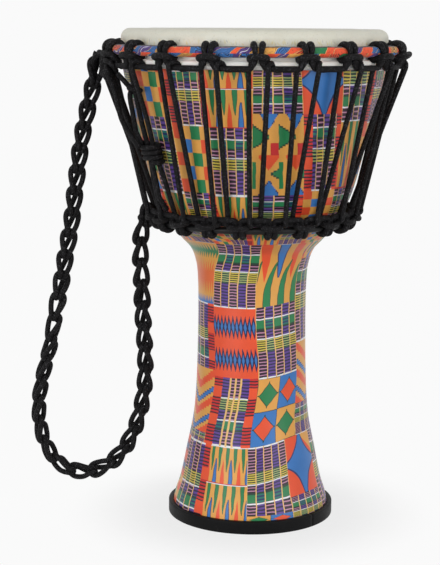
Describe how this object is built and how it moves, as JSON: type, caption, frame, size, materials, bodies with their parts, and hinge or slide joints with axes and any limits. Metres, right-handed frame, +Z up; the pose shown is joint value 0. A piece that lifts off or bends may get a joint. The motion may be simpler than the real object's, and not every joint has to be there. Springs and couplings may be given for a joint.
{
  "type": "travel djembe",
  "caption": "Small rope-tuned goblet hand drum with a skin head, a printed shell, a rubber foot band and a crocheted rope strap.",
  "frame": {"origin": "middle of the foot on the floor", "axes": "+Z up the drum's axis to the skin; -Y is the side that faces the viewer, and the strap hangs at -X"},
  "size_m": [0.3876, 0.315, 0.5],
  "materials": {
    "printed_shell": "moulded plastic under a bonded, many-coloured woven-pattern print",
    "goat_skin": "shaved natural skin, off-white, matt",
    "steel_rod": "plain rod",
    "black_rod": "black satin",
    "ring_cloth": "printed cotton",
    "black_rope": "braided cord, matt",
    "black_rubber": "matt rubber"
  },
  "bodies": {
    "drum": {"shell": "printed_shell", "drumhead": "goat_skin", "flesh_ring": "steel_rod", "crown_ring": "steel_rod", "lower_ring": "black_rod", "crown_ring_wrap": "ring_cloth", "top_cradle_rope": "black_rope", "lower_cradle_rope": "black_rope", "lacing_rope": "black_rope", "spare_rope": "black_rope", "foot_band": "black_rubber"},
    "strap": {"carry_strap": "black_rope"}
  },
  "joints": [
    {"name": "strap_swing", "type": "hinge", "parent": "drum", "child": "strap", "pos_m": [-0.1584, 0, 0.4757], "axis": [0.3031, -0.0145, -0.9529], "range_deg": [-35, 35]}
  ]
}
